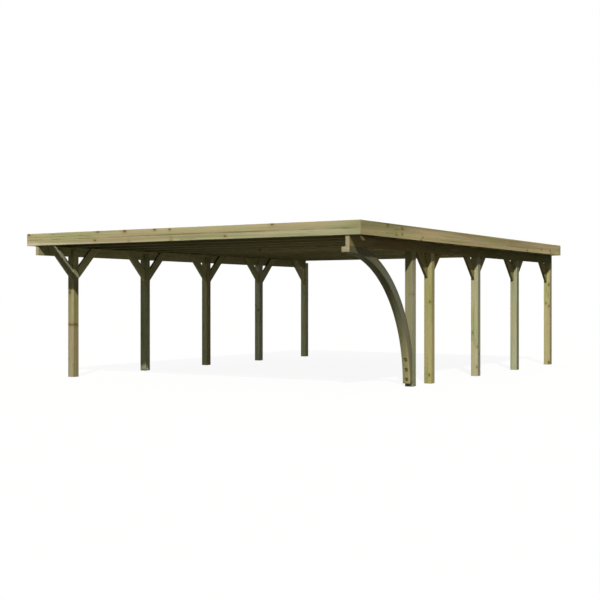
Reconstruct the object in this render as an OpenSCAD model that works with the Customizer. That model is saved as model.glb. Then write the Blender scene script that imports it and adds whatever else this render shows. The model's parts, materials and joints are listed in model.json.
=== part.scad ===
/* [Roof] */
// Width over the side fascia boards
roof_w = 6000; // [5400:10:6600]
// Depth over the front and rear fascia boards
roof_l = 8130; // [7600:10:9000]
// Height of the fascia boards
fascia_h = 190; // [160:5:220]
// Thickness of the fascia boards
fascia_t = 20; // [16:1:28]
// Distance from the front of the roof to the front edge of the sheets
sheet_set_back = 225; // [120:5:300]

/* [Posts] */
// Side of the square posts
post_s = 120; // [90:1:140]
// Distance from the top of the purlins down to the top of the posts
post_top_drop = 50; // [0:5:80]
// Clear height from the ground to the underside of the purlins
purlin_z = 1963; // [1900:1:2300]
// Distance from a side of the roof to the outer face of its posts
side_overhang = 172; // [120:2:260]
// Distance from the front of the roof to the first left post
front_overhang = 740; // [650:5:850]
// Distance from the last posts to the rear of the roof
rear_overhang = 5; // [0:5:300]
// Gap between the first right post and the tip of the next post's front brace
arch_post_gap = 6; // [2:1:200]

/* [Beams] */
// Height of the purlins
purlin_h = 150; // [130:5:180]
// Thickness of the purlins
purlin_t = 60; // [45:1:65]
// Height of the rafters
rafter_h = 120; // [100:5:140]
// Thickness of the rafters
rafter_t = 80; // [45:1:100]

/* [Braces and arch] */
// Width of the knee braces
brace_w = 138; // [100:2:160]
// Thickness of the knee braces
brace_t = 45; // [35:1:55]
// Drop from the underside of the purlins to the lowest corner of a knee brace
brace_drop = 378; // [320:2:440]
// Thickness of the arch across its bend
arch_t = 122; // [100:1:140]
// Thickness left at both ends of the arch, where it lies flat against the post and the purlin
arch_end_t = 74; // [60:1:90]
// Height of the arch's foot above the ground
arch_foot_z = 48; // [20:1:90]

/* [Roof sheets] */
// Height of the ribs
rib_h = 35; // [20:1:45]
// Thickness of the sheets
sheet_t = 2; // [1:0.5:4]
// Clearance between the sheets and the boards round them
sheet_gap = 5; // [2:1:10]

/* [Hidden] */
row_posts = 5;
rafters = 13;
sheets = 6;
// Ribs that one sheet adds to the roof; its last crown laps over the next sheet
sheet_ribs = 5;
// Widths of a rib's crown and of one flank, as shares of the distance between ribs
crown_share = 0.2;
flank_share = 0.14;
// Overrun of a cut past the face that it opens
over = 5;

timber = "#a9a477";
timber_shade = "#8f8a63";
sheet_grey = "#6b6f70";

front_y = -roof_l / 2;
rear_y = roof_l / 2;
post_x = roof_w / 2 - side_overhang;
post_bay = (roof_l - front_overhang - rear_overhang - post_s) / (row_posts - 1);
purlin_top_z = purlin_z + purlin_h;
rafter_top_z = purlin_top_z + rafter_h;
fascia_in_x = roof_w / 2 - fascia_t;
beam_front_y = front_y + fascia_t;
beam_rear_y = rear_y - fascia_t;
rafter_step = (beam_rear_y - beam_front_y - rafter_t) / (rafters - 1);

// Height and reach of a knee brace at 45 degrees, and its width measured upright
brace_rise = brace_drop + purlin_h;
brace_upright = brace_w * sqrt(2);

// The first right post stands just in front of the next post's brace
arch_post_y = left_y(2) - brace_rise - arch_post_gap - post_s;
// Run and rise of the arch's inner curve, and the quarter circle that takes in both
arch_run = arch_post_y - arch_end_t - beam_front_y;
arch_rise = purlin_z - arch_end_t - arch_foot_z;
arch_r = max(arch_run, arch_rise);
arch_y = arch_post_y - arch_end_t - arch_r;
arch_z = purlin_z - arch_end_t - arch_r;

sheet_side_x = fascia_in_x - sheet_gap;
sheet_rear_y = beam_rear_y - sheet_gap;
sheet_l = sheet_rear_y - front_y - sheet_set_back;
rib_pitch = 2 * sheet_side_x / (sheets * sheet_ribs + crown_share);
sheet_cover = sheet_ribs * rib_pitch;
crown_w = crown_share * rib_pitch;
flank_w = flank_share * rib_pitch;

$fa = 2;
$fs = 1;

left_names = [for (i = [1 : row_posts]) str("left_post_", i)];
right_names = [for (i = [1 : row_posts]) str("right_post_", i)];
left_brace_names = [for (i = [1 : row_posts]) str("left_braces_", i)];
right_brace_names = [for (i = [2 : row_posts]) str("right_braces_", i)];
rafter_names = [for (i = [1 : rafters]) str("rafter_", i < 10 ? "0" : "", i)];
sheet_names = [for (i = [1 : sheets]) str("roof_sheet_", i)];

// Front face of a post, counted from 1 at the front
function left_y(i) = front_y + front_overhang + (i - 1) * post_bay;
function right_y(i) = i == 1 ? arch_post_y : left_y(i);

// Places children that are made for the right side on the left side
module on_left() {
    mirror([1, 0, 0]) children();
}

// A post of the right row: its outer half ends in a shoulder that carries the purlin
module post(y) {
    color(timber)
    difference() {
        translate([post_x - post_s, y, 0]) cube([post_s, post_s, purlin_top_z - post_top_drop]);
        translate([post_x - purlin_t, y - over, purlin_z])
            cube([purlin_t + over, post_s + 2 * over, purlin_h + over]);
    }
}

// A purlin runs from behind the front fascia to the back of the last post
module purlin() {
    color(timber_shade)
    translate([post_x - purlin_t, beam_front_y, purlin_z])
        cube([purlin_t, left_y(row_posts) + post_s - beam_front_y, purlin_h]);
}

// A knee brace from a post's face at y, leaning to the front (-1) or to the rear (1)
module brace(y, way) {
    translate([post_x - purlin_t - brace_t, y, purlin_z - brace_drop])
    rotate([90, 0, 90])
    linear_extrude(brace_t)
        polygon([
            [0, 0],
            [way * brace_rise, brace_rise],
            [way * (brace_rise - brace_upright), brace_rise],
            [0, brace_upright]
        ]);
}

// The braces of one post; the last post has one only, because the roof ends behind it
module braces(i) {
    color(timber_shade) {
        brace(left_y(i), -1);
        if (i < row_posts) brace(left_y(i) + post_s, 1);
    }
}

// A quarter of a ring, cut flat where it lies against the post and under the purlin
module entry_arch() {
    color(timber)
    intersection() {
        translate([post_x - post_s, arch_y, arch_z])
        rotate([0, 90, 0])
        difference() {
            cylinder(r = arch_r + arch_t, h = post_s);
            translate([0, 0, -over]) cylinder(r = arch_r, h = post_s + 2 * over);
        }
        translate([post_x - post_s - over, beam_front_y, arch_foot_z])
            cube([post_s + 2 * over, arch_post_y - beam_front_y, purlin_z - arch_foot_z]);
    }
}

// The first rafter stands in front of the sheets and is as tall as the fascia board before it
module rafter(i) {
    color(timber_shade)
    translate([-fascia_in_x, beam_front_y + (i - 1) * rafter_step, purlin_top_z])
        cube([2 * fascia_in_x, rafter_t, i == 1 ? fascia_h : rafter_h]);
}

// A board across the whole roof, with its front face at y
module cross_fascia(y) {
    color(timber)
    translate([-roof_w / 2, y, purlin_top_z]) cube([roof_w, fascia_t, fascia_h]);
}

// A board along one side, between the front and rear boards
module side_fascia() {
    color(timber)
    translate([fascia_in_x, beam_front_y, purlin_top_z])
        cube([fascia_t, beam_rear_y - beam_front_y, fascia_h]);
}

// One flute and the crown after it, along the underside of a sheet, with the crown's underside at top_z
function rib_points(x, top_z) = [
    [x + crown_w + flank_w, 0],
    [x + rib_pitch - flank_w, 0],
    [x + rib_pitch, top_z],
    [x + rib_pitch + crown_w, top_z]
];

// Underside of a sheet: the last crown is raised by the thickness of the sheet that it laps
function sheet_line() = concat(
    [[0, rib_h - sheet_t], [crown_w, rib_h - sheet_t]],
    [for (i = [1 : sheet_ribs])
        each rib_points((i - 1) * rib_pitch, i < sheet_ribs ? rib_h - sheet_t : rib_h)]
);

// One profiled sheet, its ribs along the roof, lying on the rafters
module roof_sheet(i) {
    low = sheet_line();
    high = [for (k = [len(low) - 1 : -1 : 0]) low[k] + [0, sheet_t]];
    color(sheet_grey)
    translate([(i - 1) * sheet_cover - sheet_side_x, sheet_rear_y, rafter_top_z])
    rotate([90, 0, 0])
    linear_extrude(sheet_l)
        polygon(concat(low, high));
}

for (i = [1 : row_posts]) {
    on_left() post(left_y(i));
    post(right_y(i));
    on_left() braces(i);
}
for (i = [2 : row_posts]) {
    braces(i);
}
on_left() purlin();  // left_purlin
purlin();  // right_purlin
entry_arch();
for (i = [1 : rafters]) {
    rafter(i);
}
cross_fascia(front_y);  // front_fascia
cross_fascia(beam_rear_y);  // rear_fascia
on_left() side_fascia();  // left_fascia
side_fascia();  // right_fascia
for (i = [1 : sheets]) {
    roof_sheet(i);
}
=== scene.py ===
"""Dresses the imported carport: weathered green-treated timber, bolts, screws and profiled roof sheets."""
import json
import math
import random
from collections import namedtuple

import bmesh
import bpy
from mathutils import Matrix, Vector

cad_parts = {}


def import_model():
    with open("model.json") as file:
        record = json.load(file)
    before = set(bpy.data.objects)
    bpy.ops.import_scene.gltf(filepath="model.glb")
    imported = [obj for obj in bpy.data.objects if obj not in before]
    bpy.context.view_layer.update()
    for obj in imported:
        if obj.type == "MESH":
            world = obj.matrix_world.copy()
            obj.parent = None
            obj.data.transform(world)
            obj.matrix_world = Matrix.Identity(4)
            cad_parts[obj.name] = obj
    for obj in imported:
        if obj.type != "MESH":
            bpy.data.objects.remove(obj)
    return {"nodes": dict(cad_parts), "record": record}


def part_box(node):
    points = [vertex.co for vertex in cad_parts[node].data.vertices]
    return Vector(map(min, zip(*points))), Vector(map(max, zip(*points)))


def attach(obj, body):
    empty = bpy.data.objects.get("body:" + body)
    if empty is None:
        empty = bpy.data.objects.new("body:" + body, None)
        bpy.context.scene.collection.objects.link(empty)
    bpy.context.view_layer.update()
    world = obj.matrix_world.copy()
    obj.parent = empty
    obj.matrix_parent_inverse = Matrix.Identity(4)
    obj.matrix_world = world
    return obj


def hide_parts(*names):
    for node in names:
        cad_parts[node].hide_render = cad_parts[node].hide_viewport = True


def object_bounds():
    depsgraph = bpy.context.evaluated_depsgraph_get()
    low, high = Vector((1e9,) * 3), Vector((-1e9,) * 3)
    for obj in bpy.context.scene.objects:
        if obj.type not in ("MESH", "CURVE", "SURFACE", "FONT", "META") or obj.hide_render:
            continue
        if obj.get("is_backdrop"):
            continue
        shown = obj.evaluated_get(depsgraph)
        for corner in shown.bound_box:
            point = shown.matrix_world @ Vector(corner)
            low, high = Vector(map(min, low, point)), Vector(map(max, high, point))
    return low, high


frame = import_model()
cad_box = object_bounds()
X, Y, Z = Vector((1, 0, 0)), Vector((0, 1, 0)), Vector((0, 0, 1))

# Camera, solved from the photograph: place in metres, angles in degrees, lens for a 36 mm sensor
CAMERA_PLACE = (9.616, -16.284, 1.285)
CAMERA_YAW = 31.65
CAMERA_PITCH = -0.094
CAMERA_LENS = 64.42
CAMERA_FAR = 1000.0
# Turn about X at which a camera looks level, in degrees
CAMERA_LEVEL = 90

# Key light: the direction in which it travels, its strength, its colour and its width in degrees
KEY_TRAVEL = (-0.625, 1.08, -1.0)
KEY_STRENGTH = 3.35
KEY_COLOUR = (1.0, 0.965, 0.91)
KEY_WIDTH = 1.2
# Sky that lights the part: its main tone, the tone on the right, and that near the horizon there
SKY_LIGHT = (0.355, 0.372, 0.345)
SKY_RIGHT = (0.05, 0.046, 0.038)
SKY_RIGHT_LOW = (0.42, 0.4, 0.34)
# How far a direction points right, or up, where one tone of the sky ends and the next is reached
SKY_FADE = (0.1, 0.75)
SKY_LOW_FADE = (0.3, 0.12)
# Floor: its tone for other surfaces, its glow and shade for the camera, and half its side in metres
GROUND_COLOUR = (0.115, 0.1, 0.065)
FLOOR_GLOW = 0.92
FLOOR_SHADE = (0.09, 0.09, 0.09)
FLOOR_HALF = 400.0
WHITE = (1.0, 1.0, 1.0)

# Rounding of the timbers' edges, in metres, and its steps and profile
EDGE_ROUND = 0.003
EDGE_STEPS = 2
EDGE_PROFILE = 0.5
# Distance in metres within which two points are one
SEAM = 1e-4
# Faces that differ by less than the first angle are one; edges above the others are rounded or shaded sharp
FLAT_ANGLE = math.radians(0.4)
SHARP_ANGLE = math.radians(20)
ARCH_SHARP_ANGLE = math.radians(24)
FASTENER_SHARP_ANGLE = math.radians(35)
# Steps of the arch's bend
ARCH_STEPS = 72
# How quickly a face that turns towards the grain's direction becomes a cut end
END_POWER = 3

# Knots that show in the photograph: (place along the piece, distance below its top edge, radius), in metres
FRONT_KNOTS = [(-2.955, 0.017, 0.017), (-1.51, 0.012, 0.015), (-1.568, 0.142, 0.013), (-0.979, 0.021, 0.018),
               (-0.409, 0.014, 0.015), (-0.129, 0.024, 0.012), (1.639, 0.008, 0.016), (0.85, 0.15, 0.011)]
RIGHT_KNOTS = [(-3.286, 0.031, 0.014), (-2.843, 0.052, 0.015), (-2.843, 0.13, 0.012), (-2.17, 0.142, 0.01),
               (2.2, 0.163, 0.013), (2.958, 0.125, 0.013), (3.451, 0.128, 0.014)]
# The same on posts: (to the right of the post's middle, behind it, height above the ground, radius)
POST_KNOTS = {
    "left_post_1": [(-0.048, -0.06, 0.857, 0.01), (-0.025, -0.06, 0.855, 0.011), (0.0, -0.06, 0.855, 0.01),
                    (0.025, -0.06, 0.853, 0.011), (0.055, -0.055, 0.854, 0.012), (0.06, -0.02, 0.856, 0.012),
                    (0.06, 0.02, 0.855, 0.012), (-0.024, -0.06, 1.38, 0.016)],
    "right_post_2": [(0.034, -0.06, 1.231, 0.011), (0.026, -0.06, 0.131, 0.011)],
    "right_post_3": [(0.054, -0.06, 0.487, 0.01), (0.047, -0.06, 0.152, 0.01)],
    "right_post_5": [(0.04, -0.06, 1.547, 0.014), (-0.017, -0.06, 1.189, 0.012),
                     (0.045, -0.06, 1.135, 0.012), (0.04, -0.06, 0.043, 0.016)],
}
# A piece has room for this many such knots; a knot far outside it stands for none
KNOT_PLACES = 8
NO_KNOT = (9.0, 9.0, 9.0, 0.01)

# How the colour of a piece, or of all pieces of a kind, departs from its timber; partly its own tone and
# partly painted light and shade, as most shaded left posts and the left braces are made lighter and the
# right braces darker
TONE_AND_LIGHT_TINTS = {
    "left_post_2": (0.68, 0.77, 0.84), "left_post_3": (1.03, 1.12, 1.1), "left_post_4": (1.48, 1.62, 2.3),
    "left_post_5": (1.42, 1.6, 1.75), "right_post_2": (0.93, 0.93, 0.76), "right_post_3": (1.03, 1.1, 1.17),
    "right_post_4": (0.98, 1.12, 1.28), "right_post_5": (1.02, 1.05, 0.95),
    "left_braces": (1.65, 1.8, 1.9), "left_braces_1": (0.98, 1.05, 1.28), "right_braces": (0.55, 0.52, 0.38),
}
# The same for the rear brace of a pair: painted light, lightening its shade
REAR_BRACE_LIGHT = {"left_braces_1": (1.85, 2.0, 2.1)}
# The same for pieces that change along their length: (place along the piece in metres, tint); partly own
# tone, partly painted light and shade
TONE_AND_LIGHT_STOPS = {
    "front_fascia": [(-3.0, (1.19, 1.19, 1.23)), (-1.2, (1.05, 1.06, 1.08)), (0.3, (0.95, 0.97, 0.95)),
                     (2.6, (0.92, 0.95, 0.96)), (3.0, (0.84, 0.86, 0.87))],
    "right_fascia": [(-4.1, (0.86, 0.86, 0.77)), (-3.1, (0.91, 0.9, 0.82)), (-2.2, (1.19, 1.14, 1.12)),
                     (4.1, (1.17, 1.11, 1.14))],
    # Painted shade on the right purlin, darkest along its shaded length
    "right_purlin": [(-4.1, (0.6, 0.55, 0.43)), (-3.6, (0.46, 0.41, 0.31)), (-3.3, (0.38, 0.33, 0.23)),
                     (-2.6, (0.42, 0.35, 0.25)), (1.0, (0.18, 0.18, 0.06)), (4.1, (0.14, 0.15, 0.04))],
    # Painted light and shade on the left purlin: its shaded length lighter, its sunlit front end darker
    "left_purlin": [(-4.1, (0.8, 0.86, 0.88)), (-3.75, (0.84, 0.9, 0.92)), (-3.4, (1.5, 1.64, 1.74)),
                    (0.6, (1.85, 1.9, 2.2)), (2.4, (1.45, 1.5, 1.6)), (4.1, (1.2, 1.25, 1.3))],
    # Painted light and shade on the rafters, darker on the left
    "rafter": [(-3.0, (0.5, 0.5, 0.44)), (-1.8, (0.7, 0.7, 0.7)), (-0.7, (0.9, 0.9, 1.02)),
               (0.0, (0.95, 0.95, 1.02)), (1.0, (1.05, 1.05, 1.1)), (3.0, (1.05, 1.05, 1.1))],
    # Painted shade on the first left post above 1.5 m, where the roof's shadow falls; below it, own tone
    "left_post_1": [(0.0, (0.88, 0.84, 0.97)), (0.8, (0.88, 0.84, 0.95)), (0.92, (0.84, 0.85, 0.82)),
                    (1.36, (0.84, 0.86, 0.82)), (1.5, (0.65, 0.69, 0.67)), (1.76, (0.65, 0.69, 0.67)),
                    (1.84, (0.7, 0.74, 0.72)), (2.2, (0.7, 0.74, 0.72))],
    # Painted shade on the upper part of the first right post
    "right_post_1": [(0.0, (0.66, 0.7, 0.71)), (1.3, (0.66, 0.7, 0.71)), (1.6, (0.6, 0.64, 0.6)),
                     (2.2, (0.6, 0.64, 0.6))],
}
# Painted light and shade on the rafters, darker at the front of the roof and lighter towards its rear:
# (place in metres, tint)
RAFTER_PAINTED_LIGHT = [(-4.1, (0.48, 0.48, 0.36)), (-3.2, (0.54, 0.54, 0.46)), (-2.4, (0.82, 0.82, 0.8)),
                (-1.7, (1.05, 1.05, 1.05)), (-1.2, (1.12, 1.12, 1.12)), (-0.4, (1.58, 1.58, 1.55)),
                (2.0, (1.75, 1.75, 1.7)), (4.1, (1.75, 1.75, 1.7))]
# Painted shade on the arch: its tint at its top, darker and greyer, and the share of a quarter turn, from
# its foot, at which it is reached
ARCH_TOP_SHADE = (0.49, 0.56, 0.64)
ARCH_SHADE_END = 0.45
# How far the other pieces vary in lightness
TINT_SPREAD = 0.05
# Painted light and shade on the faces that look to the right: how they depart from the rest of their piece
RIGHT_FACE_PAINTED_LIGHT = {
    "left_post_2": (1.9, 2.0, 2.2), "right_post_2": (1.15, 1.1, 1.22), "right_post_3": (0.73, 0.75, 0.98),
    "right_post_4": (0.53, 0.55, 0.58), "right_post_5": (0.8, 0.74, 0.87),
}
# The same painted light and shade for faces that change with height: (height in metres, tint)
RIGHT_FACE_LIGHT_BY_HEIGHT = {
    "left_post_1": [(1.36, (0.88, 0.89, 0.66)), (1.5, (1.2, 1.3, 1.38)), (1.76, (1.2, 1.3, 1.38)),
                    (1.84, (1.8, 1.95, 2.0))],
    "right_post_1": [(1.6, (1.2, 1.26, 1.6)), (1.96, (0.75, 0.77, 0.8))],
    "entry_arch": [(0.3, (0.58, 0.62, 0.64)), (0.9, (0.92, 0.94, 1.04)), (1.6, (1.0, 1.04, 1.24)),
                   (1.8, (0.76, 0.78, 0.72)), (2.0, (0.7, 0.7, 0.58))],
}
# The same for the upper faces of the knee braces, darkened as painted shade, and for all other faces
BRACE_TOP_SHADE = (0.22, 0.22, 0.22)
NO_CHANGE = (1.0, 1.0, 1.0)
# Parts of a face's direction from which it counts as looking up or to the right
LOOKS_UP = 0.5
LOOKS_RIGHT = 0.9

# Middle of a noise, and values between which nearly all of it lies
NOISE_MIDDLE = 0.5
NOISE_SPAN = (0.3, 0.7)
WIDE_SPAN = (0.2, 0.8)


class Tree:
    """Short calls for building the nodes of a material or of the world."""

    def __init__(self, owner):
        owner.use_nodes = True
        self.owner = owner
        self.nodes = owner.node_tree.nodes
        self.links = owner.node_tree.links
        self.shader = self.nodes.get("Principled BSDF")

    def put(self, socket, value):
        """Links a socket to another one, or sets its value or opaque tone; None leaves it alone."""
        if isinstance(value, bpy.types.NodeSocket):
            self.links.new(value, socket)
        elif value is not None:
            socket.default_value = (*value, 1.0) if socket.type == "RGBA" else value

    def add(self, kind, inputs=(), **settings):
        """A new shader node of a kind with its settings and inputs."""
        node = self.nodes.new("ShaderNode" + kind)
        for key, value in settings.items():
            setattr(node, key, value)
        for key, value in dict(inputs).items():
            self.put(node.inputs[key], value)
        return node

    def surface(self, name, value):
        """Links or sets an input of the main shader."""
        self.put(self.shader.inputs[name], value)

    def attribute(self, name, output="Fac"):
        return self.add("Attribute", attribute_name=name).outputs[output]

    def math(self, operation, a, b=None, c=None, clamp=False):
        return self.add("Math", {0: a, 1: b, 2: c}, operation=operation, use_clamp=clamp).outputs[0]

    def vector(self, operation, a, b=None, output="Vector"):
        return self.add("VectorMath", {0: a, 1: b}, operation=operation).outputs[output]

    def split(self, vector):
        return self.add("SeparateXYZ", {"Vector": vector}).outputs

    def join(self, x, y, z=0.0):
        return self.add("CombineXYZ", {"X": x, "Y": y, "Z": z}).outputs[0]

    def product(self, a, b):
        return self.math("MULTIPLY", a, b)

    def apart(self, a, b):
        """The distance between two values."""
        return self.math("ABSOLUTE", self.math("SUBTRACT", a, b))

    def swayed(self, value, noise, width):
        """A value moved to both sides by a noise, over a width in all."""
        return self.math("MULTIPLY_ADD", self.math("SUBTRACT", noise, NOISE_MIDDLE), width, value)

    def noise(self, vector, detail, roughness=0.5, scale=1.0):
        inputs = {"Vector": vector, "Scale": scale, "Detail": detail, "Roughness": roughness}
        return self.add("TexNoise", inputs).outputs

    def span(self, value, low, high, to_low, to_high, **settings):
        """A map of a value that is held at both ends, straight if the settings say nothing else."""
        inputs = {"Value": value, "From Min": low, "From Max": high, "To Min": to_low, "To Max": to_high}
        return self.add("MapRange", inputs, **settings).outputs[0]

    def smooth(self, value, low, high, to_low=0.0, to_high=1.0):
        """A soft step of a value from low to high."""
        return self.span(value, low, high, to_low, to_high, interpolation_type="SMOOTHSTEP")

    def mix(self, factor, a, b, blend="MIX"):
        inputs = {"Factor": factor, "A": a, "B": b}
        return self.add("Mix", inputs, data_type="RGBA", blend_type=blend).outputs["Result"]

    def times(self, tone, factor):
        """The tone made lighter or darker by a factor."""
        return self.mix(1.0, tone, self.join(factor, factor, factor), "MULTIPLY")

    def stain(self, tone, amount, factors):
        """The tone multiplied by a colour, by the given amount."""
        return self.mix(amount, tone, self.mix(1.0, tone, factors, "MULTIPLY"))

    def seen(self):
        """1 on the way to the camera, also by a reflection or through glass, and 0 for light on the part."""
        path = self.add("LightPath").outputs
        indirect = self.math("ADD", path["Is Glossy Ray"], path["Is Transmission Ray"])
        return self.math("ADD", path["Is Camera Ray"], indirect, clamp=True)

    def bump(self, height, strength, distance):
        inputs = {"Height": height, "Strength": strength, "Distance": distance}
        self.surface("Normal", self.add("Bump", inputs).outputs[0])


# Timber's noises, drawn out along the grain: (scale along, scale across, detail, roughness)
BANDS = (0.2, 10.0, 3.0, 0.6)
STREAKS = (0.7, 42.0, 4.0, 0.6)
PATCHES = (0.8, 5.0, 3.0, 0.55)
CLOUDS = (1.5, 14.0, 3.0, 0.6)
FIBRES = (16.0, 420.0, 2.0, 0.5)
RING_SWAY = (1.6, 9.0, 2.0, 0.5)
CRACK_LINES = (0.7, 26.0, 1.0, 0.5)
SAP_SWAY = (0.5, 2.0, 1.0, 0.5)
SAP_GAPS = (0.9, 3.0, 2.0, 0.5)
# Its fine noise, the same in all directions: (detail, roughness, scale)
RAGGED = (2.0, 0.5, 90.0)

# The log: factors that set pieces apart by their seeds, and the way its middle wanders, in metres
SEED_SCALE = 97.0
SEED_SHIFT = 31.0
WANDER_SCALE = 0.55
WANDER_DETAIL = 1.0
WANDER_WIDTH = 0.09
# Year rings: bend round a knot and sway in metres, and the part of a year in which dark late wood grows
RING_BEND = 0.012
RING_SWAY_WIDTH = 0.016
LATE_WOOD_RISE = (0.35, 0.9)
LATE_WOOD_FALL = (1.0, 0.93)
# Branches: the cell that holds one in (metres along the log, radians round it), and their knots' radii
BRANCH_CELL = (0.42, 1.3)
KNOT_RADII = (0.005, 0.014)
# Factors on distances along the grain, which make knots longer than wide
KNOT_STRETCH = 0.75
HAND_KNOT_STRETCH = (0.7, 1.0, 1.0)
# Parts of a knot, by the distance from its middle in radii, and a distance that stands for no knot
KNOT_RAGGED = (0.82, 1.18)
KNOT_FADE = (1.15, 0.85)
RIM_REACH = 0.98
RIM_FADE = (0.34, 0.06)
HALO_FADE = (4.2, 0.7)
NO_KNOT_REACH = 100.0

# Stains: (values of a noise between which one fades in, factors by which it changes the tone)
DARK_BANDS = ((0.52, 0.34), (0.66, 0.62, 0.5))
PALE_BANDS = ((0.5, 0.68), (1.2, 1.21, 1.18))
GREEN_PATCHES = ((0.5, 0.66), (0.88, 0.95, 0.82))
BROWN_PATCHES = ((0.5, 0.36), (1.06, 0.98, 0.99))
# Tinted marks: (strength, factors by which one changes the tone)
LATE_WOOD = (0.6, (0.76, 0.67, 0.52))
HALO = (0.6, (0.76, 0.66, 0.5))
END_RINGS = (0.7, (0.74, 0.66, 0.5))
SAP_RING = (0.85, (0.5, 0.46, 0.36))
# Covering marks: (strength, tone)
GREY_WOOD = (0.3, (0.33, 0.315, 0.23))
KNOT_WOOD = (0.75, (0.13, 0.09, 0.042))
KNOT_RIM = (0.5, (0.055, 0.04, 0.02))
CRACK = (0.7, (0.06, 0.05, 0.028))
END_WOOD = (0.9, (0.43, 0.39, 0.255))
# Fades of grey clouds, of cracks and the patches that have them, and of the gaps in the dark ring
GREY_FADE = (0.5, 0.75)
CRACK_FADE = (0.012, 0.003)
CRACK_PATCH_FADE = (0.52, 0.62)
SAP_GAP_FADE = (0.4, 0.54)
# Lightness of streaks, fibres and cut ends, and the lighter rounded edges' strengths and factors, partly
# wear and partly painted highlight
STREAK_SPAN = (0.25, 0.75)
STREAK_DARKER = 0.22
STREAK_LIGHTER = 0.2
FIBRE_TONES = (0.92, 1.07)
END_TONES = (0.9, 1.1)
EDGE_WEAR_AND_HIGHLIGHT_SHARES = (0.05, 0.6)
EDGE_WEAR_AND_HIGHLIGHT_TINT = (1.25, 1.25, 1.3)
# Sapwood: its factors, and its border, the border's sway and fade and the dark ring's fade in metres
SAP_STAIN = (1.13, 1.14, 1.3)
SAP_BORDER = -0.004
SAP_SWAY_WIDTH = 0.03
SAP_FADE = 0.02
SAP_RING_FADE = (0.011, 0.002)
# Surface: shine, and heights of its marks as shares of the bump's (strength, distance in metres)
WOOD_ROUGHNESS = (0.68, 0.9)
WOOD_SPECULAR = 0.1
LATE_WOOD_HEIGHT = 0.35
FIBRE_HEIGHT = 0.4
CRACK_DEPTH = 1.6
KNOT_HEIGHT = 0.25
WOOD_BUMP = (0.5, 0.0016)


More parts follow.
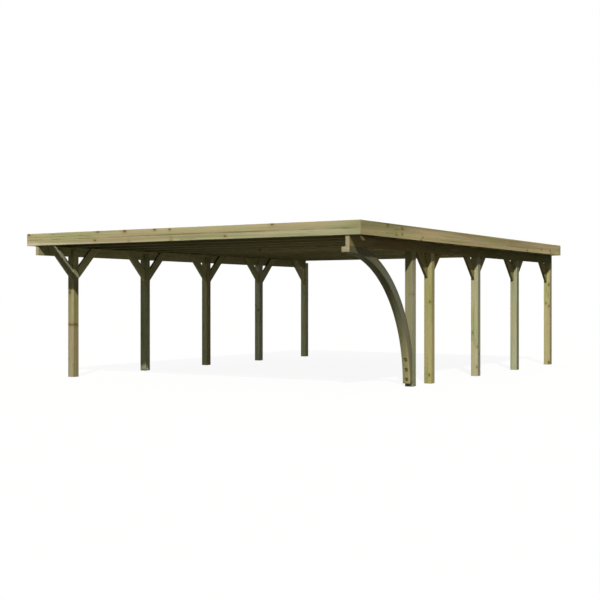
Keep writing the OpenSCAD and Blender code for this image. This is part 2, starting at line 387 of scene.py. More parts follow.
class Wood(Tree):
    """Pressure-treated softwood, cut from a log whose rings and branches run through it.

    The grain attribute holds (along, across, depth) in metres, so cut ends show rings and faces show grain.
    pith is the place of the log's middle in (across, depth), ring is the width of a year's growth in metres,
    knots is the share of branch places that hold one, and figure is the strength of bands and streaks.
    With sapwood, the half below the middle is paler, and one dark ring parts the two.
    """

    def __init__(self, name, base, pith, pith_spread, ring, knots, figure, sapwood=False):
        super().__init__(bpy.data.materials.new(name))
        self.seed = self.attribute("seed")
        self.grain = self.attribute("grain", "Vector")
        along, self.across, self.depth = self.split(self.grain)
        self.shift = self.math("MULTIPLY_ADD", self.seed, SEED_SHIFT, along)
        self.ragged = self.noise(self.grain, *RAGGED)["Fac"]
        self.streak = self.streaks(*STREAKS)
        self.patch = self.streaks(*PATCHES)
        self.cloud = self.streaks(*CLOUDS)
        self.fibre = self.streaks(*FIBRES)

        radius, angle = self.round_pith(pith, pith_spread)
        reach = self.knot_reach(knots, radius, angle)
        self.knot = self.smooth(reach, *KNOT_FADE)
        self.rim = self.smooth(self.apart(reach, RIM_REACH), *RIM_FADE)
        self.halo = self.smooth(reach, *HALO_FADE)
        self.late_wood = self.rings(radius, ring)
        line = self.apart(self.streaks(*CRACK_LINES), NOISE_MIDDLE)
        cracked = self.smooth(self.patch, *CRACK_PATCH_FADE)
        self.crack = self.product(self.smooth(line, *CRACK_FADE), cracked)

        tone = self.weathered(base, figure)
        if sapwood:
            tone = self.with_sapwood(tone)
        self.surface("Base Color", self.with_ends(self.with_marks(tone)))
        self.surface("Roughness", self.span(self.streak, *WIDE_SPAN, *WOOD_ROUGHNESS))
        self.surface("Specular IOR Level", WOOD_SPECULAR)
        self.bump(self.height(), *WOOD_BUMP)

    def streaks(self, along_scale, across_scale, detail, roughness):
        """Noise drawn out along the grain."""
        sides = [self.product(side, across_scale) for side in (self.across, self.depth)]
        place = self.join(self.product(self.shift, along_scale), *sides)
        return self.noise(place, detail, roughness)["Fac"]

    def round_pith(self, pith, pith_spread):
        """The distance from the log's middle, which wanders along the piece, and the angle round it."""
        seeded = {"W": self.product(self.seed, SEED_SCALE)}
        chance = self.add("TexWhiteNoise", seeded, noise_dimensions="1D")
        roll = self.split(chance.outputs["Color"])
        drift = self.join(self.product(self.shift, WANDER_SCALE), self.seed)
        wander = self.split(self.noise(drift, WANDER_DETAIL)["Color"])
        sides = (self.across, self.depth)
        gaps = []
        for side, place, spread, part, sway in zip(sides, pith, pith_spread, roll, wander):
            middle = self.swayed(self.swayed(place, part, 2 * spread), sway, WANDER_WIDTH)
            gaps.append(self.math("SUBTRACT", side, middle))
        squares = [self.product(gap, gap) for gap in gaps]
        return self.math("SQRT", self.math("ADD", *squares)), self.math("ARCTAN2", gaps[1], gaps[0])

    def knot_reach(self, knots, radius, angle):
        """The distance from the nearest knot, in its radii; branches leave the pith, one to a cell."""
        cell_along, cell_turn = BRANCH_CELL
        cells = self.join(self.math("DIVIDE", self.shift, cell_along), self.math("DIVIDE", angle, cell_turn))
        branch = self.add("TexVoronoi", {"Vector": cells, "Scale": 1.0}, voronoi_dimensions="2D")
        gap = self.split(self.vector("SUBTRACT", cells, branch.outputs["Position"]))
        pick = self.split(branch.outputs["Color"])
        gap_along = self.product(gap[0], cell_along * KNOT_STRETCH)
        gap_turn = self.product(self.product(gap[1], cell_turn), radius)
        distance = self.vector("LENGTH", self.join(gap_along, gap_turn), output="Value")
        reach = self.math("DIVIDE", distance, self.span(pick[0], 0.0, 1.0, *KNOT_RADII))
        absent = self.math("GREATER_THAN", pick[1], knots)
        reach = self.math("MULTIPLY_ADD", absent, NO_KNOT_REACH, reach)
        for i in range(KNOT_PLACES):
            knot = self.add("Attribute", attribute_name=f"knot_{i}").outputs
            offset = self.vector("SUBTRACT", self.grain, knot["Vector"])
            offset = self.vector("MULTIPLY", offset, HAND_KNOT_STRETCH)
            near = self.math("DIVIDE", self.vector("LENGTH", offset, output="Value"), knot["Alpha"])
            reach = self.math("MINIMUM", reach, near)
        return self.product(reach, self.span(self.ragged, *NOISE_SPAN, *KNOT_RAGGED))

    def rings(self, radius, ring):
        """The late wood of the year rings, which are bent round the knots."""
        bent = self.math("MULTIPLY_ADD", self.halo, RING_BEND, radius)
        bent = self.swayed(bent, self.streaks(*RING_SWAY), RING_SWAY_WIDTH)
        year = self.math("FRACT", self.math("DIVIDE", bent, ring))
        return self.product(self.smooth(year, *LATE_WOOD_RISE), self.smooth(year, *LATE_WOOD_FALL))

    def marked(self, tone, place, mark, strength=1.0):
        """The tone tinted where a mark, given as (strength, factors), shows."""
        share, factors = mark
        return self.stain(tone, self.product(place, share * strength), factors)

    def covered(self, tone, place, mark):
        """The tone covered where a mark, given as (strength, tone), shows."""
        share, cover = mark
        return self.mix(self.product(place, share), tone, cover)

    def weathered(self, base, figure):
        """The tinted base with rings, bands, green and brown stains, grey clouds, streaks and fibres."""
        band = self.streaks(*BANDS)
        tone = self.mix(1.0, base, self.attribute("tint", "Vector"), "MULTIPLY")
        tone = self.marked(tone, self.late_wood, LATE_WOOD, figure)
        stains = ((band, DARK_BANDS, figure), (band, PALE_BANDS, figure),
                  (self.patch, GREEN_PATCHES, 1.0), (self.patch, BROWN_PATCHES, 1.0))
        for noise, (fade, factors), strength in stains:
            tone = self.stain(tone, self.smooth(noise, *fade, 0.0, strength), factors)
        tone = self.covered(tone, self.smooth(self.cloud, *GREY_FADE), GREY_WOOD)
        streak_tones = (1 - STREAK_DARKER * figure, 1 + STREAK_LIGHTER * figure)
        tone = self.times(tone, self.span(self.streak, *STREAK_SPAN, *streak_tones))
        return self.times(tone, self.span(self.fibre, *WIDE_SPAN, *FIBRE_TONES))

    def with_sapwood(self, tone):
        """The tone with a paler half below the middle, and a dark ring with gaps between the two."""
        border = self.swayed(self.across, self.streaks(*SAP_SWAY), SAP_SWAY_WIDTH)
        tone = self.stain(tone, self.smooth(border, SAP_BORDER, SAP_BORDER - SAP_FADE), SAP_STAIN)
        dark_ring = self.smooth(self.apart(border, SAP_BORDER), *SAP_RING_FADE)
        shown = self.smooth(self.streaks(*SAP_GAPS), *SAP_GAP_FADE)
        return self.marked(tone, self.product(dark_ring, shown), SAP_RING)

    def with_marks(self, tone):
        """The tone with knots, drying cracks, and rounded edges made lighter, partly as wear and partly as
        painted highlight.
        """
        tone = self.marked(tone, self.halo, HALO)
        for place, mark in ((self.knot, KNOT_WOOD), (self.rim, KNOT_RIM), (self.crack, CRACK)):
            tone = self.covered(tone, place, mark)
        wear_and_highlight = self.product(self.attribute("edge"), self.span(self.cloud, *NOISE_SPAN, *EDGE_WEAR_AND_HIGHLIGHT_SHARES))
        return self.stain(tone, wear_and_highlight, EDGE_WEAR_AND_HIGHLIGHT_TINT)

    def with_ends(self, tone):
        """The tone, and on cut ends the tone of fresher wood with its rings."""
        share, fresh = END_WOOD
        end_tone = self.marked(fresh, self.late_wood, END_RINGS)
        end_tone = self.times(end_tone, self.span(self.ragged, *NOISE_SPAN, *END_TONES))
        return self.mix(self.product(self.attribute("end"), share), tone, end_tone)

    def height(self):
        """The relief of late wood, fibres, cracks and knots."""
        fibres = self.product(self.fibre, FIBRE_HEIGHT)
        height = self.math("MULTIPLY_ADD", self.late_wood, LATE_WOOD_HEIGHT, fibres)
        height = self.math("SUBTRACT", height, self.product(self.crack, CRACK_DEPTH))
        return self.math("MULTIPLY_ADD", self.knot, KNOT_HEIGHT, height)


# Roof paint: tones, noises of rain streaks and dust as (scale x, scale y, detail, roughness), of grit as
# (detail, roughness, scale), and the share of a rib's height, from its top, with the least dust
PAINT_TONE = (0.115, 0.125, 0.125)
RUN_TONE = (0.17, 0.175, 0.165)
DUST_TONE = (0.23, 0.215, 0.17)
RAIN_RUNS = (16.0, 0.5, 4.0, 0.6)
DUST = (2.0, 2.0, 5.0, 0.6)
GRIT = (2.0, 0.5, 260.0)
FLUTE_SHARE = 0.3
RUN_SPAN = (0.3, 0.75)
RUN_SHARE = 0.5
DUST_FADE = (0.42, 0.68)
DUST_SHARES = (0.15, 0.6)
PAINT_ROUGHNESS = (0.38, 0.62)
DUST_HEIGHT = 0.5
GRIT_HEIGHT = 0.2
PAINT_BUMP = (0.15, 0.002)


def sheet_paint():
    """Painted steel sheet with rain streaks along its ribs and dust in its flutes."""
    t = Tree(bpy.data.materials.new("roof_paint"))
    place = t.add("TexCoord").outputs["Object"]
    x, y, z = t.split(place)

    def flat_noise(x_scale, y_scale, detail, roughness):
        """Noise over the roof's plan."""
        plan = t.join(t.product(x, x_scale), t.product(y, y_scale))
        return t.noise(plan, detail, roughness)["Fac"]

    runs = flat_noise(*RAIN_RUNS)
    dust = flat_noise(*DUST)
    grit = t.noise(place, *GRIT)["Fac"]
    low, high = (corner[2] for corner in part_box("roof_sheet_1"))
    flute = t.smooth(z, high - FLUTE_SHARE * (high - low), low)
    tone = t.mix(t.span(runs, *RUN_SPAN, 0.0, RUN_SHARE), PAINT_TONE, RUN_TONE)
    dirt = t.product(t.smooth(dust, *DUST_FADE), t.span(flute, 0.0, 1.0, *DUST_SHARES))
    t.surface("Base Color", t.mix(dirt, tone, DUST_TONE))
    t.surface("Roughness", t.span(dust, *NOISE_SPAN, *PAINT_ROUGHNESS))
    t.bump(t.math("MULTIPLY_ADD", dust, DUST_HEIGHT, t.product(grit, GRIT_HEIGHT)), *PAINT_BUMP)
    return t.owner


# Steel: the noise of its stains as (detail, roughness, scale), its zinc spangles, and its shine
RUST = (4.0, 0.6, 55.0)
RUST_FADE = (0.45, 0.65)
RUST_SHARE = 0.7
SPANGLE_SCALE = 420.0
SPANGLE_SHARE = 0.12
STEEL_METALLIC = 0.1
STEEL_SPECULAR = 0.2
STEEL_ROUGHNESS = (0.5, 0.75)
STEEL_BUMP = (0.2, 0.0006)


def steel(name, base, rust):
    """Zinc-coated steel gone dull in the weather, with brown stains."""
    t = Tree(bpy.data.materials.new(name))
    place = t.add("TexCoord").outputs["Object"]
    stain = t.noise(place, *RUST)["Fac"]
    spangle = t.add("TexVoronoi", {"Vector": place, "Scale": SPANGLE_SCALE}).outputs["Color"]
    tone = t.mix(SPANGLE_SHARE, base, spangle, "OVERLAY")
    tone = t.mix(t.smooth(stain, *RUST_FADE, 0.0, RUST_SHARE), tone, rust)
    t.surface("Base Color", tone)
    t.surface("Metallic", STEEL_METALLIC)
    t.surface("Specular IOR Level", STEEL_SPECULAR)
    t.surface("Roughness", t.span(stain, *NOISE_SPAN, *STEEL_ROUGHNESS))
    t.bump(stain, *STEEL_BUMP)
    return t.owner


# Woods by slot, and one board's own, with the values that Wood lists
WOODS = {
    "post_timber": Wood("post_wood", (0.475, 0.435, 0.245), (0.0, 0.0), (0.05, 0.05), 0.0045, 0.1, 0.6),
    "beam_timber": Wood("beam_wood", (0.44, 0.42, 0.225), (0.0, 0.07), (0.05, 0.02), 0.004, 0.03, 0.3),
    "brace_timber": Wood("brace_wood", (0.44, 0.415, 0.235), (0.0, 0.06), (0.03, 0.02), 0.0042, 0.1, 0.5),
    "arch_timber": Wood("arch_wood", (0.335, 0.305, 0.165), (0.0, 0.09), (0.02, 0.02), 0.0045, 0.04, 0.6),
    "fascia_board": Wood("fascia_wood", (0.455, 0.42, 0.24), (0.0, 0.06), (0.06, 0.02), 0.005, 0.08, 1.0),
    "front_fascia": Wood("front_wood", (0.455, 0.42, 0.24), (0.0, 0.06), (0.06, 0.02), 0.005, 0.08, 0.8,
                         sapwood=True),
}
DARK_STEEL = steel("dark_bolt_steel", (0.14, 0.12, 0.04), (0.09, 0.065, 0.025))
PALE_STEEL = steel("pale_bolt_steel", (0.36, 0.35, 0.27), (0.29, 0.26, 0.18))
ZINC_STEEL = steel("zinc_bolt_steel", (0.24, 0.24, 0.23), (0.2, 0.15, 0.1))
SHEET_PAINT = sheet_paint()


def in_scene(name, data):
    """A new object in the scene."""
    obj = bpy.data.objects.new(name, data)
    bpy.context.scene.collection.objects.link(obj)
    return obj


def as_mesh(name, made):
    """A mesh from a bmesh, which is freed."""
    mesh = bpy.data.meshes.new(name)
    made.to_mesh(mesh)
    made.free()
    return mesh


def add_object(name, mesh, material, slot, nodes=()):
    """Shows a mesh as a piece of the part that rides on it, in place of CAD nodes where any are given."""
    piece = in_scene(name, mesh)
    mesh.materials.append(material)
    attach(piece, "root")
    if nodes:
        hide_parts(*nodes)


def clean_solids(node):
    """The node's solids, each as a bmesh of whole flat faces, from left to right and front to rear."""
    whole = bmesh.new()
    whole.from_mesh(frame["nodes"][node].data)
    bmesh.ops.remove_doubles(whole, verts=whole.verts, dist=SEAM)
    bmesh.ops.dissolve_limit(whole, angle_limit=FLAT_ANGLE, verts=whole.verts, edges=whole.edges)
    left = set(whole.verts)
    solids = []
    while left:
        group, reach = set(), [left.pop()]
        while reach:
            vert = reach.pop()
            group.add(vert)
            near = {edge.other_vert(vert) for edge in vert.link_edges} & left
            left -= near
            reach.extend(near)
        solid = bmesh.new()
        places = {vert: solid.verts.new(vert.co) for vert in whole.verts if vert in group}
        for face in whole.faces:
            if face.verts[0] in group:
                solid.faces.new([places[vert] for vert in face.verts])
        solids.append(solid)
    whole.free()
    return sorted(solids, key=lambda solid: min(tuple(vert.co) for vert in solid.verts))


def round_edges(solid):
    """Rounds every sharp edge and returns the points on the middle of the rounded edges."""
    bmesh.ops.recalc_face_normals(solid, faces=solid.faces)
    sharp = [edge for edge in solid.edges if edge.calc_face_angle(0.0) > SHARP_ANGLE]
    made = bmesh.ops.bevel(solid, geom=sharp, offset=EDGE_ROUND, segments=EDGE_STEPS, profile=EDGE_PROFILE,
                           affect="EDGES", clamp_overlap=True)
    rounded = set(made["faces"])
    return {vert for vert in made["verts"] if all(face in rounded for face in vert.link_faces)}


class Timber:
    """Gathers solids with their grain into one mesh."""

    def __init__(self, node):
        self.node = node
        self.draw = random.Random(node)
        self.mesh = bmesh.new()
        layers = self.mesh.verts.layers
        self.grain = layers.float_vector.new("grain")
        self.tint = layers.float_vector.new("tint")
        self.seed = layers.float.new("seed")
        self.edge = layers.float.new("edge")
        self.knots = [layers.float_color.new(f"knot_{i}") for i in range(KNOT_PLACES)]
        self.end = self.mesh.faces.layers.float.new("end")

    def add(self, solid, to_grain, along_at, wear_and_highlight, tint_at=None):
        """Adds a solid with the points on its rounded edges, which are made lighter as wear and painted
        highlight.

        to_grain gives a point's (along, across, depth), along_at the grain's direction and tint_at the tint.
        """
        seed = self.draw.random()
        spread = 1.0 + TINT_SPREAD * (2 * self.draw.random() - 1)
        own = of_kind(TONE_AND_LIGHT_TINTS, self.node) or (spread, spread, spread)
        knots = [(*to_grain(Vector(place)), size) for place, size in knots_of(self.node)]
        knots += [NO_KNOT] * (KNOT_PLACES - len(knots))
        copies = {}
        solid.normal_update()
        for vert in solid.verts:
            copy = self.mesh.verts.new(vert.co)
            copy[self.grain] = to_grain(vert.co)
            tint = tint_at(vert.co) if tint_at else own
            copy[self.tint] = [a * b for a, b in zip(tint, painted_face_light(self.node, vert))]
            copy[self.seed] = seed
            copy[self.edge] = float(vert in wear_and_highlight)
            for layer, knot in zip(self.knots, knots):
                copy[layer] = knot
            copies[vert] = copy
        for face in solid.faces:
            made = self.mesh.faces.new([copies[vert] for vert in face.verts])
            made[self.end] = abs(face.normal.dot(along_at(face.calc_center_median()))) ** END_POWER
        solid.free()

    def done(self):
        """The finished mesh."""
        self.mesh.normal_update()
        return as_mesh("dressed_" + self.node, self.mesh)


def knots_of(node):
    """Places and radii of the knots that are listed for a piece."""
    low, high = (Vector(corner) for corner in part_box(node))
    middle = (low + high) / 2
    if node == "front_fascia":
        return [((x, low.y, high.z - drop), size) for x, drop, size in FRONT_KNOTS]
    if node == "right_fascia":
        return [((high.x, y, high.z - drop), size) for y, drop, size in RIGHT_KNOTS]
    return [((middle.x + x, middle.y + y, z), size) for x, y, z, size in POST_KNOTS.get(node, [])]


def of_kind(table, node):
    """A table's entry for a piece, or for its kind."""
    return table.get(node, table.get(node.rsplit("_", 1)[0]))


def painted_face_light(node, vert):
    """How the widest face at a point departs from the rest of its piece, as painted light and shade."""
    normal = max(vert.link_faces, key=lambda face: face.calc_area()).normal
    if "_braces_" in node and normal.z > LOOKS_UP:
        return BRACE_TOP_SHADE
    if normal.x > LOOKS_RIGHT and node in RIGHT_FACE_LIGHT_BY_HEIGHT:
        return graded_tint(RIGHT_FACE_LIGHT_BY_HEIGHT[node], vert.co.z)
    if normal.x > LOOKS_RIGHT and node in RIGHT_FACE_PAINTED_LIGHT:
        return RIGHT_FACE_PAINTED_LIGHT[node]
    return NO_CHANGE


def graded_tint(stops, place):
    """The tint at a place between stops."""
    for (low, tint), (high, next_tint) in zip(stops, stops[1:]):
        if place <= high or high == stops[-1][0]:
            share = held((place - low) / (high - low))
            return [a + share * (b - a) for a, b in zip(tint, next_tint)]


def held(share):
    """A share held between 0 and 1."""
    return min(1.0, max(0.0, share))


def tint_along(node, along, index):
    """A function that gives the tint at a point of a piece's solid, own tone and painted light and shade, or
    None for a piece of one tint.
    """
    if index > 0 and node in REAR_BRACE_LIGHT:
        return lambda co: REAR_BRACE_LIGHT[node]
    stops = of_kind(TONE_AND_LIGHT_STOPS, node)
    if not stops:
        return None
    if node.startswith("rafter"):
        return lambda co: [a * b for a, b in zip(graded_tint(stops, co.x), graded_tint(RAFTER_PAINTED_LIGHT, co.y))]
    return lambda co: graded_tint(stops, co.dot(along))


def straight_timber(node, along_of, across, slot):
    """Shows a node's solids with rounded edges and grain.

    along_of gives the grain's direction in a solid, and across is a direction in its wide face.
    """
    timber = Timber(node)
    stops = of_kind(TONE_AND_LIGHT_STOPS, node) or []
    for index, solid in enumerate(clean_solids(node)):
        middle = sum((vert.co for vert in solid.verts), Vector()) / len(solid.verts)
        along = along_of(solid).normalized()
        depth = along.cross(across).normalized()
        turn = Matrix((along, depth.cross(along), depth))
        for stop in stops[1:-1]:
            bmesh.ops.bisect_plane(solid, geom=solid.verts[:] + solid.edges[:] + solid.faces[:], dist=SEAM,
                                   plane_co=stop[0] * along, plane_no=along)
        wear_and_highlight = round_edges(solid)
        timber.add(solid, lambda co, turn=turn, middle=middle: turn @ (co - middle),
                   lambda co, along=along: along, wear_and_highlight, tint_along(node, along, index))
    wood = WOODS.get(node, WOODS[slot])
    add_object("dressed_" + node, timber.done(), wood.owner, slot, [node])


def brace_direction(solid):
    """The direction of a knee brace's longest edge."""
    longest = max(solid.edges, key=lambda edge: edge.calc_length())
    return longest.verts[1].co - longest.verts[0].co


def timbers():
    """Dressed copies of all straight timbers, and paint on the roof sheets."""
    for row in frame["record"]["subparts"]:
        node, slot = row["node"], row["material_slot"]
        if slot == "post_timber":
            straight_timber(node, lambda solid: Z, X, slot)
        elif node.endswith("purlin") or node in ("left_fascia", "right_fascia"):
            straight_timber(node, lambda solid: Y, Z, slot)
        elif slot in ("beam_timber", "fascia_board"):
            straight_timber(node, lambda solid: X, Z, slot)
        elif slot == "brace_timber":
            straight_timber(node, brace_direction, Z, slot)
        elif slot == "roof_sheet":
            materials = frame["nodes"][node].data.materials
            materials.clear()
            materials.append(SHEET_PAINT)


# The arch's centre (y, z), inner and outer radius, the corners of its box and the middle of its width
Arch = namedtuple("Arch", "centre inner outer low high middle_x")


def arch_curve():
    """The arch's sizes, read from its solid."""
    low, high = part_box("entry_arch")
    points = [vert.co for vert in frame["nodes"]["entry_arch"].data.vertices]
    foot = [point.y for point in points if point.z < low[2] + SEAM]
    inner_y = min(foot)
    end_thick = max(foot) - inner_y
    inner = max(inner_y - low[1], high[2] - end_thick - low[2])
    centre = (inner_y - inner, high[2] - end_thick - inner)
    outer = max(math.hypot(point.y - centre[0], point.z - centre[1]) for point in points)
    return Arch(centre, inner, outer, low, high, (low[0] + high[0]) / 2)


ARCH = arch_curve()


def close_rings(mesh, rings):
    """Joins rings of points, one after the other, into a closed shape."""
    steps = len(rings[0])
    for a, b in zip(rings, rings[1:]):
        for i in range(steps):
            k = (i + 1) % steps
            mesh.faces.new((a[i], a[k], b[k], b[i]))
    mesh.faces.new(rings[0][::-1])
    mesh.faces.new(rings[-1])


def arch_solid():
    """The curved timber, cut flat against the post and under the purlin."""
    centre_y, centre_z = ARCH.centre
    low, high = ARCH.low, ARCH.high
    run, rise = high[1] - centre_y, high[2] - centre_z
    stop = math.acos((low[1] - centre_y) / ARCH.inner)
    breaks = [math.acos(min(1.0, run / ARCH.outer)), math.asin(min(1.0, rise / ARCH.outer))]
    turns = sorted([stop * i / ARCH_STEPS for i in range(ARCH_STEPS + 1)] + breaks)
    solid = bmesh.new()
    rings = []
    for turn in turns:
        c, s = math.cos(turn), math.sin(turn)
        reach = min(ARCH.outer, run / max(c, SEAM), rise / max(s, SEAM))
        near = (centre_y + ARCH.inner * c, centre_z + ARCH.inner * s)
        far = (max(low[1], centre_y + reach * c), centre_z + reach * s)
        if turn == turns[-1]:
            far = (low[1], high[2])
        corners = ((low[0], near), (high[0], near), (high[0], far), (low[0], far))
        rings.append([solid.verts.new((x, *point)) for x, point in corners])
    close_rings(solid, rings)
    return solid


# Bolts of the arch: heights on its foot, places from its front end, and sizes and steps of their sunk holes
ARCH_FOOT_BOLTS = (0.106, 0.247, 0.392)
ARCH_TOP_BOLTS = (0.09, 0.24)
BOLT_HOLE_R = 0.031
BOLT_HOLE_DEPTH = 0.012
BOLT_HOLE_STEPS = 24


def arch_bolts():
    """Places on the arch's inner curve, and the directions out of the wood there."""
    centre_y, centre_z = ARCH.centre
    radius = ARCH.inner
    turns = [(math.asin((z - centre_z) / radius), -Y) for z in ARCH_FOOT_BOLTS]
    turns += [(math.acos((ARCH.low[1] + y - centre_y) / radius), -Z) for y in ARCH_TOP_BOLTS]
    return [(Vector((ARCH.middle_x, centre_y + radius * math.cos(a), centre_z + radius * math.sin(a))), way)
            for a, way in turns]


def turned(mesh, shape, place, axis, spin=0.0):
    """Adds a closed turned shape: the steps round it, then (radius, height) from its foot up, along axis."""
    steps, *profile = shape
    turn = Z.rotation_difference(axis).to_matrix()
    angles = [spin + 2 * math.pi * i / steps for i in range(steps)]
    rings = []
    for radius, height in profile:
        points = [Vector((radius * math.cos(a), radius * math.sin(a), height)) for a in angles]
        rings.append([mesh.verts.new(place + turn @ point) for point in points])
    close_rings(mesh, rings)


def drilled(solid):
    """The arch's solid with the sunk holes of its bolts cut into it."""
    cutter = bmesh.new()
    hole = (BOLT_HOLE_STEPS, (BOLT_HOLE_R, -BOLT_HOLE_DEPTH), (BOLT_HOLE_R, BOLT_HOLE_DEPTH))
    for place, way in arch_bolts():
        turned(cutter, hole, place, way)
    body = in_scene("arch_body", as_mesh("arch_body", solid))
    drill = in_scene("arch_drill", as_mesh("arch_drill", cutter))
    cut = body.modifiers.new("cut", "BOOLEAN")
    cut.operation = "DIFFERENCE"
    cut.solver = "EXACT"
    cut.object = drill
    graph = bpy.context.evaluated_depsgraph_get()
    result = bmesh.new()
    result.from_mesh(body.evaluated_get(graph).to_mesh())
    bpy.data.objects.remove(body)
    bpy.data.objects.remove(drill)
    return result


def arch():
    """The curved timber, its grain along the bend, with its holes, darker and greyer towards the top as
    painted shade.
    """
    middle_r = (ARCH.inner + ARCH.outer) / 2

    def bend(co):
        """A point's angle along the bend, from the foot up, and its radius."""
        y, z = co.y - ARCH.centre[0], co.z - ARCH.centre[1]
        return math.atan2(z, y), math.hypot(y, z)

    def to_grain(co):
        turn, radius = bend(co)
        return (turn * middle_r, co.x - ARCH.middle_x, radius - middle_r)

    def along_at(co):
        turn = bend(co)[0]
        return Vector((0, -math.sin(turn), math.cos(turn)))

    def tint_at(co):
        share = held(bend(co)[0] / (ARCH_SHADE_END * math.pi / 2))
        eased = share * share * (3 - 2 * share)
        return [1 + eased * (part - 1) for part in ARCH_TOP_SHADE]

    solid = arch_solid()
    round_edges(solid)
    solid = drilled(solid)
    half = EDGE_ROUND / 2
    wear_and_highlight = {vert for vert in solid.verts
            if min(vert.co.x - ARCH.low[0], ARCH.high[0] - vert.co.x) < half
            and bend(vert.co)[1] < ARCH.inner + half}
    timber = Timber("entry_arch")
    timber.add(solid, to_grain, along_at, wear_and_highlight, tint_at)
    mesh = timber.done()
    mesh.set_sharp_from_angle(angle=ARCH_SHARP_ANGLE)
    add_object("dressed_entry_arch", mesh, WOODS["arch_timber"].owner, "arch_timber", ["entry_arch"])


# Turned shapes of the fasteners: steps round one, then (radius, height) in metres from where it sits
COACH_HEAD = (20, (0.015, -0.001), (0.0148, 0.0025), (0.012, 0.0058), (0.007, 0.0078), (0.002, 0.0084))
WASHER = (20, (0.0185, -0.001), (0.0185, 0.002), (0.0176, 0.0026))
WIDE_WASHER = (20, (0.0245, -0.001), (0.0245, 0.002), (0.0236, 0.0026))
HEX_NUT = (6, (0.0098, 0.0015), (0.0098, 0.009), (0.0086, 0.01))
BOLT_END = (12, (0.005, 0.0015), (0.005, 0.0135), (0.0042, 0.0145))
SCREW_HEAD = (12, (0.0052, -0.0015), (0.0052, 0.0006), (0.0042, 0.0014), (0.0021, 0.0014), (0.0019, 0.0002))
ROOF_WASHER = (16, (0.0085, -0.0005), (0.009, 0.001), (0.0078, 0.0024))
ROOF_HEAD = (6, (0.0046, 0.002), (0.0046, 0.0066), (0.0038, 0.0076))

# Places of the fasteners on the timbers: heights as shares of the timber, distances in metres
PURLIN_BOLT_SHARES = (0.2, 0.5)
PURLIN_BOLT_SIDE = 0.026
BRACE_SCREW_SHARES = (0.3, 0.72)
BOARD_SCREW_SHARES = (0.16, 0.5)
BOARD_SCREW_STEP = 0.6
# Ribs of a roof sheet, the share of a rib's pitch that is crown, and the flutes from one screw to the next
SHEET_RIBS = 5
CROWN_SHARE = 0.2
SCREW_FLUTES = 2


def nut(place, axis, washer=WASHER):
    """The shapes of a washer with a nut and the end of its bolt."""
    return [(shape, place, axis) for shape in (washer, HEX_NUT, BOLT_END)]


def fasteners(name, material, shapes):
    """One piece of many turned shapes (shape, place, axis); nuts and heads with six sides turn by chance."""
    draw = random.Random(name)
    mesh = bmesh.new()
    for shape, place, axis in shapes:
        spin = draw.random() if shape in (HEX_NUT, ROOF_HEAD) else 0.0
        turned(mesh, shape, place, axis, spin)
    bmesh.ops.recalc_face_normals(mesh, faces=mesh.faces)
    data = as_mesh(name, mesh)
    data.set_sharp_from_angle(angle=FASTENER_SHARP_ANGLE)
    add_object(name, data, material, "roof_sheet")


def arch_fasteners():
    """Nuts in the arch's sunk holes, and the round heads of its lower bolts behind the post."""
    shapes = []
    for place, way in arch_bolts():
        shapes += nut(place - BOLT_HOLE_DEPTH * way, way, WIDE_WASHER)
    post_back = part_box("right_post_1")[1][1]
    for z in ARCH_FOOT_BOLTS:
        shapes.append((COACH_HEAD, Vector((ARCH.middle_x, post_back, z)), Y))
    return shapes


# Sides of the carport, with their directions along X
SIDES = (("left", -1), ("right", 1))


def nodes_like(start):
    """The nodes whose names start with the given words."""
    return [node for node in frame["nodes"] if node.startswith(start)]


def height_shares(low, high, shares):
    """Heights in a box, from shares of its height."""
    return [low[2] + share * (high[2] - low[2]) for share in shares]


def purlin_bolts():
    """Outer and inner ends of the bolts through purlins and posts, and the direction out of the purlin."""
    bolts = []
    for side, way in SIDES:
        heights = height_shares(*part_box(side + "_purlin"), PURLIN_BOLT_SHARES)
        for node in nodes_like(side + "_post"):
            low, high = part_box(node)
            outer, inner = (high[0], low[0]) if way > 0 else (low[0], high[0])
            for z, shift in zip(heights, (-1, 1)):
                y = (low[1] + high[1]) / 2 + shift * PURLIN_BOLT_SIDE
                bolts.append((Vector((outer, y, z)), Vector((inner, y, z)), way * X))
    return bolts


def post_bolt_heads():
    """Round heads on the outer sides of the purlins."""
    return [(COACH_HEAD, bolt[0], bolt[2]) for bolt in purlin_bolts()]


def post_bolt_nuts():
    """Nuts with washers on the inner sides of the posts."""
    return [shape for bolt in purlin_bolts() for shape in nut(bolt[1], -bolt[2])]


def brace_screws():
    """Two screws a brace, through its upper end into the purlin."""
    shapes = []
    for side, way in SIDES:
        heights = height_shares(*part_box(side + "_purlin"), BRACE_SCREW_SHARES)
        solids = [solid for node in nodes_like(side + "_braces") for solid in clean_solids(node)]
        for solid in solids:
            points = [vert.co.copy() for vert in solid.verts]
            solid.free()
            foot = min(points, key=lambda point: point.z)
            tip = max(points, key=lambda point: abs(point.y - foot.y))
            upright = max(point.z for point in points if abs(point.y - foot.y) < SEAM) - foot.z
            x = min(way * point.x for point in points) * way
            for z in heights:
                y = foot.y + math.copysign(z - foot.z - upright / 2, tip.y - foot.y)
                shapes.append((SCREW_HEAD, Vector((x, y, z)), -way * X))
    return shapes


def rafter_middles():
    """Places of the rafters' middles along the roof."""
    boxes = [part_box(node) for node in nodes_like("rafter")]
    return [(low[1] + high[1]) / 2 for low, high in boxes]


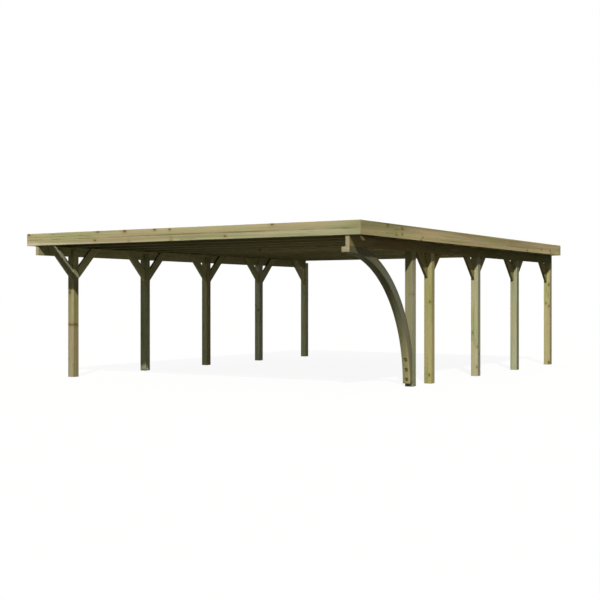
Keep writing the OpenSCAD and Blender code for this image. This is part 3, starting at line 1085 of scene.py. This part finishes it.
def board_screws():
    """Screws through the boards round the roof into the rafters behind them."""
    shapes = []
    for side, way in SIDES:
        low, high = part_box(side + "_fascia")
        x = high[0] if way > 0 else low[0]
        for y in rafter_middles():
            for z in height_shares(low, high, BOARD_SCREW_SHARES):
                shapes.append((SCREW_HEAD, Vector((x, y, z)), way * X))
    for node, way in (("front_fascia", -1), ("rear_fascia", 1)):
        low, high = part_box(node)
        y = high[1] if way > 0 else low[1]
        count = int((high[0] - low[0]) / BOARD_SCREW_STEP)
        for i in range(count):
            x = (i + 0.5 - count / 2) * BOARD_SCREW_STEP
            for z in height_shares(low, high, BOARD_SCREW_SHARES):
                shapes.append((SCREW_HEAD, Vector((x, y, z)), way * Y))
    return shapes


def roof_screws():
    """Screws with washers in every second flute of the sheets, on each rafter that they cover."""
    shapes = []
    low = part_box("roof_sheet_1")[0]
    pitch = (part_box("roof_sheet_2")[0][0] - low[0]) / SHEET_RIBS
    flutes = range(0, len(nodes_like("roof_sheet")) * SHEET_RIBS, SCREW_FLUTES)
    # The upper side of a flute holds the lowest points above the sheet's underside
    heights = [vert.co.z for vert in frame["nodes"]["roof_sheet_1"].data.vertices]
    flute_z = min(z for z in heights if z > low[2] + SEAM)
    for y in [y for y in rafter_middles() if y >= low[1]]:
        for i in flutes:
            place = Vector((low[0] + (i + (1 + CROWN_SHARE) / 2) * pitch, y, flute_z))
            shapes.append((ROOF_WASHER, place, Z))
            shapes.append((ROOF_HEAD, place, Z))
    return shapes


def floor():
    """A white floor that keeps the part's shadow; other surfaces see it as plain dull ground."""
    corners = [(x * FLOOR_HALF, y * FLOOR_HALF, 0) for x, y in ((-1, -1), (1, -1), (1, 1), (-1, 1))]
    mesh = bpy.data.meshes.new("floor")
    mesh.from_pydata(corners, [], [(0, 1, 2, 3)])
    obj = in_scene("floor", mesh)
    t = Tree(bpy.data.materials.new("floor_white"))
    t.nodes.remove(t.shader)
    ground = t.add("BsdfDiffuse", {"Color": GROUND_COLOUR}).outputs[0]
    shade = t.add("BsdfDiffuse", {"Color": FLOOR_SHADE}).outputs[0]
    white = t.add("Emission", {"Color": WHITE, "Strength": FLOOR_GLOW}).outputs[0]
    bright = t.add("AddShader", {0: shade, 1: white}).outputs[0]
    out = t.add("MixShader", {0: t.seen(), 1: ground, 2: bright}).outputs[0]
    t.put(t.nodes["Material Output"].inputs["Surface"], out)
    mesh.materials.append(t.owner)
    obj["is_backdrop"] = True


def world():
    """A white backdrop for the camera, and a faint sky for the part, on the right only near the horizon."""
    t = Tree(bpy.data.worlds.new("studio"))
    bpy.context.scene.world = t.owner
    way = t.split(t.add("TexCoord").outputs["Generated"])
    right = t.mix(t.smooth(way["Z"], *SKY_LOW_FADE), SKY_RIGHT, SKY_RIGHT_LOW)
    sky = t.nodes["Background"]
    t.put(sky.inputs["Color"], t.mix(t.smooth(way["X"], *SKY_FADE), SKY_LIGHT, right))
    white = t.add("Background", {"Color": WHITE}).outputs[0]
    out = t.add("MixShader", {0: t.seen(), 1: sky.outputs[0], 2: white}).outputs[0]
    t.put(t.nodes["World Output"].inputs["Surface"], out)


def key_light():
    """One key light from the front right."""
    data = bpy.data.lights.new("key", "SUN")
    data.energy = KEY_STRENGTH
    data.color = KEY_COLOUR
    data.angle = math.radians(KEY_WIDTH)
    obj = in_scene("key", data)
    obj.rotation_euler = Vector(KEY_TRAVEL).to_track_quat("-Z", "Y").to_euler()


def camera():
    """The camera that took the photograph."""
    data = bpy.data.cameras.new("camera")
    data.lens = CAMERA_LENS
    data.clip_end = CAMERA_FAR
    obj = in_scene("camera", data)
    obj.location = CAMERA_PLACE
    obj.rotation_euler = (math.radians(CAMERA_LEVEL + CAMERA_PITCH), 0.0, math.radians(CAMERA_YAW))
    bpy.context.scene.camera = obj


timbers()
arch()
fasteners("arch_bolts", DARK_STEEL, arch_fasteners())
fasteners("post_bolt_heads", DARK_STEEL, post_bolt_heads())
fasteners("post_bolt_nuts", PALE_STEEL, post_bolt_nuts())
fasteners("brace_screws", ZINC_STEEL, brace_screws())
fasteners("board_screws", ZINC_STEEL, board_screws())
fasteners("roof_screws", ZINC_STEEL, roof_screws())
floor()
world()
key_light()
camera()
bpy.context.scene.view_settings.view_transform = "Standard"

boxes = {"cad": cad_box, "visual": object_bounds()}
{name: [list(corner) for corner in box] for name, box in boxes.items()}
